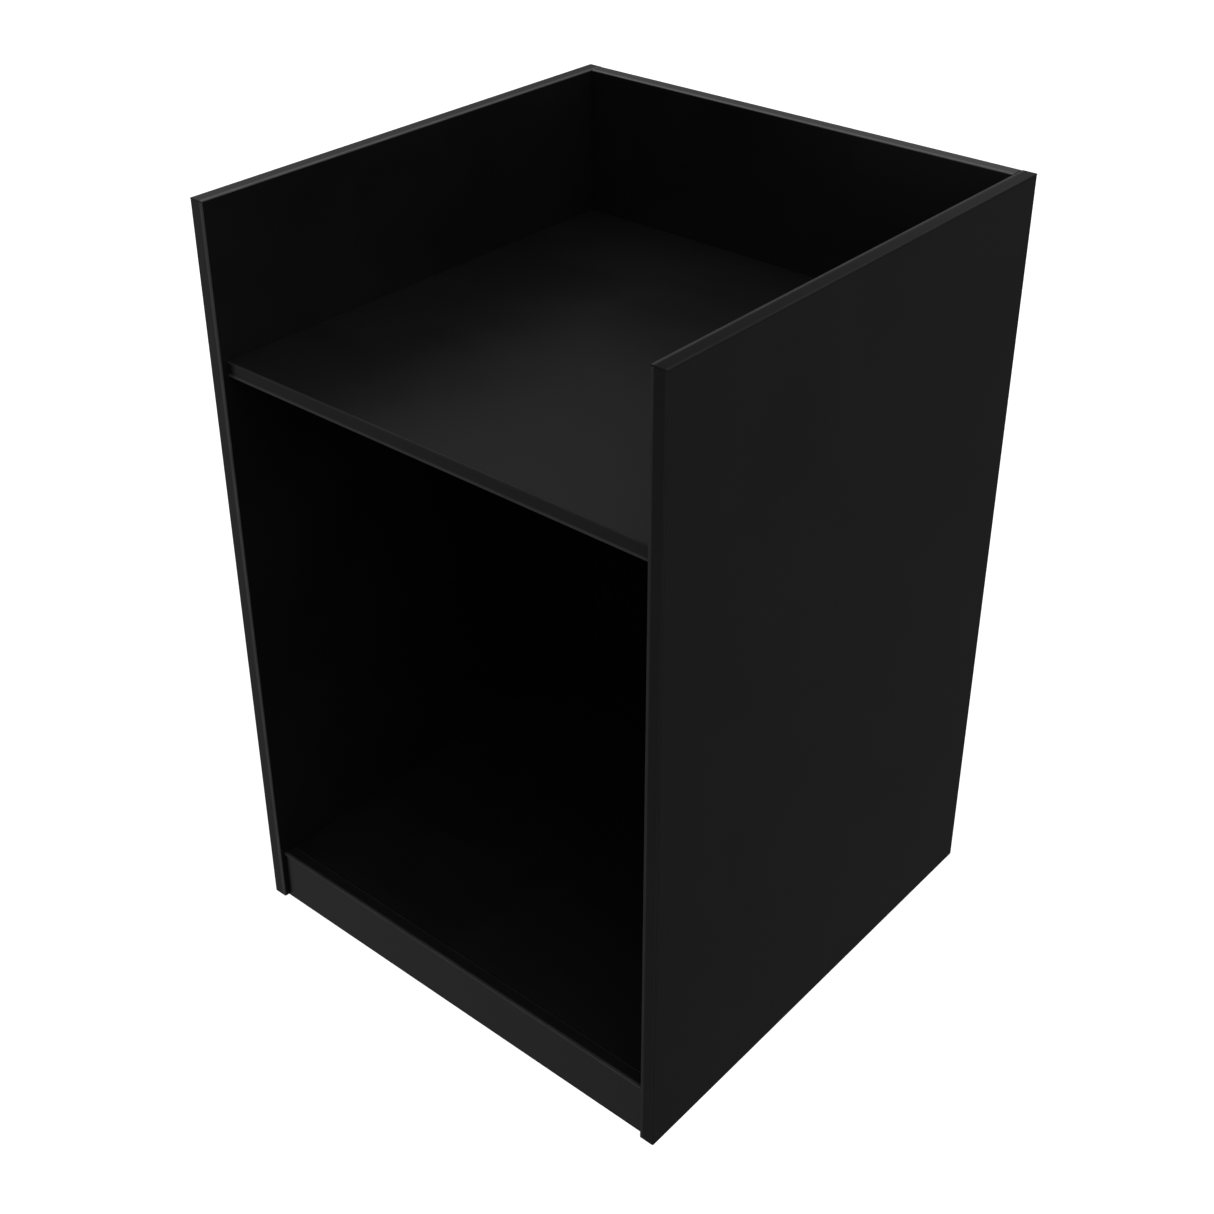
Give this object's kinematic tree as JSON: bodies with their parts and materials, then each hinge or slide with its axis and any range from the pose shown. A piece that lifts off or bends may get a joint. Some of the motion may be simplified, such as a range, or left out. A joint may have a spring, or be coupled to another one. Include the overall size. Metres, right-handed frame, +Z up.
{
  "type": "lectern podium",
  "caption": "Counter-height box podium with a recessed work shelf inside a raised rim, open to the presenter, and an open storage cavity above a kick board.",
  "frame": {"origin": "middle of the footprint, at floor level", "axes": "+Z up; -Y towards the presenter, where the well and the storage cavity are open; +Y towards the audience, behind the front panel; +X to the right of a person who looks along +Y into the podium"},
  "size_m": [0.61, 0.61, 0.914],
  "materials": {
    "black_melamine": "satin black melamine on chipboard",
    "black_edge_band": "satin black edge band, 1 mm, rounded arrises",
    "zinc": "die-cast zinc alloy, as cast",
    "plated_steel": "bright zinc-plated steel",
    "beech": "bare beech",
    "black_plastic": "fine-grained moulded plastic"
  },
  "bodies": {
    "root": {"cam_bolt_floor_left_audience": "plated_steel", "cam_bolt_floor_left_presenter": "plated_steel", "cam_bolt_floor_right_audience": "plated_steel", "cam_bolt_floor_right_presenter": "plated_steel", "cam_bolt_front_left_lower": "plated_steel", "cam_bolt_front_left_upper": "plated_steel", "cam_bolt_front_right_lower": "plated_steel", "cam_bolt_front_right_upper": "plated_steel", "cam_bolt_kick_left_end": "plated_steel", "cam_bolt_kick_right_end": "plated_steel", "cam_bolt_shelf_left_audience": "plated_steel", "cam_bolt_shelf_left_presenter": "plated_steel", "cam_bolt_shelf_right_audience": "plated_steel", "cam_bolt_shelf_right_presenter": "plated_steel", "cam_cap_front_left_lower": "black_plastic", "cam_cap_front_left_upper": "black_plastic", "cam_cap_front_right_lower": "black_plastic", "cam_cap_front_right_upper": "black_plastic", "cam_lock_floor_left_audience": "zinc", "cam_lock_floor_left_presenter": "zinc", "cam_lock_floor_right_audience": "zinc", "cam_lock_floor_right_presenter": "zinc", "cam_lock_front_left_lower": "zinc", "cam_lock_front_left_upper": "zinc", "cam_lock_front_right_lower": "zinc", "cam_lock_front_right_upper": "zinc", "cam_lock_kick_left_end": "zinc", "cam_lock_kick_right_end": "zinc", "cam_lock_shelf_left_audience": "zinc", "cam_lock_shelf_left_presenter": "zinc", "cam_lock_shelf_right_audience": "zinc", "cam_lock_shelf_right_presenter": "zinc", "dowel_floor_front_left": "beech", "dowel_floor_front_right": "beech", "dowel_floor_kick_left": "beech", "dowel_floor_kick_right": "beech", "dowel_floor_left": "beech", "dowel_floor_right": "beech", "dowel_front_left": "beech", "dowel_front_right": "beech", "dowel_shelf_front_left": "beech", "dowel_shelf_front_right": "beech", "dowel_shelf_left": "beech", "dowel_shelf_right": "beech", "floor_panel": "black_melamine", "front_panel": "black_melamine", "front_panel_top_band": "black_edge_band", "kick_board": "black_melamine", "kick_board_top_band": "black_edge_band", "left_panel_audience_band": "black_edge_band", "left_panel_presenter_band": "black_edge_band", "left_panel_top_band": "black_edge_band", "left_side_panel": "black_melamine", "right_panel_audience_band": "black_edge_band", "right_panel_presenter_band": "black_edge_band", "right_panel_top_band": "black_edge_band", "right_side_panel": "black_melamine", "work_shelf": "black_melamine", "work_shelf_band": "black_edge_band"}
  },
  "joints": []
}
